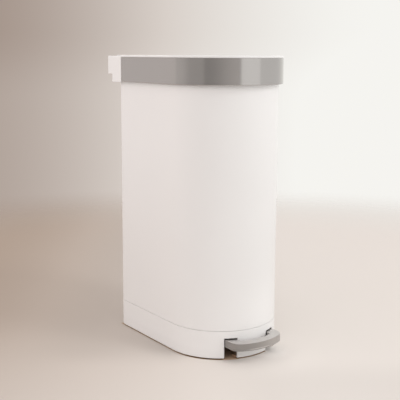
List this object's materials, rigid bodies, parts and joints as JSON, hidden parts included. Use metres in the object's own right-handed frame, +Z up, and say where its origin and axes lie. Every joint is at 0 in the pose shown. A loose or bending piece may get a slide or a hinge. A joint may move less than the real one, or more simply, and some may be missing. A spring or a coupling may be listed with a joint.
{
  "type": "pedal trash can",
  "caption": "Slim free-standing pedal trash can with a half-round front, an overhanging lid with a satin band, and a U-shaped pedal that lifts the lid through a rod.",
  "frame": {"origin": "on the floor under the middle of the whole object's box", "axes": "+Z up, front with the pedal towards -Y, +X to the right seen from the front"},
  "size_m": [0.276, 0.4206, 0.65],
  "materials": {
    "white_plastic": "satin moulded plastic, warm white",
    "lid_band": "satin grey metal strip",
    "pedal": "satin grey pressed steel",
    "plated_steel": "zinc plated",
    "nylon": "natural nylon",
    "dark_plastic": "matt black moulded plastic",
    "rubber": "matt soft rubber"
  },
  "bodies": {
    "bin": {"bin_body": "white_plastic", "base_plinth": "white_plastic", "rubber_feet": "rubber", "base_screws": "plated_steel", "pivot_bracket_left": "plated_steel", "pivot_bracket_right": "plated_steel", "bracket_screws": "plated_steel", "pivot_axle": "plated_steel", "axle_clips": "plated_steel", "rod_channel": "white_plastic", "channel_screws": "plated_steel", "rod_bush": "nylon", "rod_guide": "nylon", "damper_cylinder": "dark_plastic", "damper_clips": "dark_plastic", "hinge_housing": "white_plastic", "housing_screws": "plated_steel", "hinge_pins": "plated_steel"},
    "lid": {"lid_shell": "white_plastic", "lid_band": "lid_band", "lift_crank": "nylon", "crank_screws": "plated_steel", "lid_bumpers": "rubber"},
    "pedal": {"pedal_tread": "pedal", "lever_arm_left": "plated_steel", "lever_arm_right": "plated_steel", "tread_rivets": "plated_steel", "axle_bushes": "nylon", "lifter_shaft": "plated_steel", "lifter_sleeve": "nylon", "lifter_clips": "plated_steel"},
    "rod": {"push_rod": "plated_steel", "rod_foot": "nylon", "rod_tip": "nylon", "rod_collar": "dark_plastic", "damper_piston": "plated_steel"}
  },
  "joints": [
    {"name": "lid_hinge", "type": "hinge", "parent": "bin", "child": "lid", "pos_m": [0, 0.20025, 0.64], "axis": [-1, 0, 0], "range_deg": [0, 70]},
    {"name": "pedal_hinge", "type": "hinge", "parent": "bin", "child": "pedal", "pos_m": [0, -0.05575, 0.036], "axis": [1, 0, 0], "range_deg": [0, 9.6]},
    {"name": "rod_slide", "type": "slide", "parent": "bin", "child": "rod", "axis": [0, 0, 1], "range_m": [0, 0.03787]}
  ],
  "couplings": [
    {"joint": "pedal_hinge", "follows": "lid_hinge", "ratio": 0.13711},
    {"joint": "rod_slide", "follows": "lid_hinge", "m_per_rad": 0.030986}
  ]
}
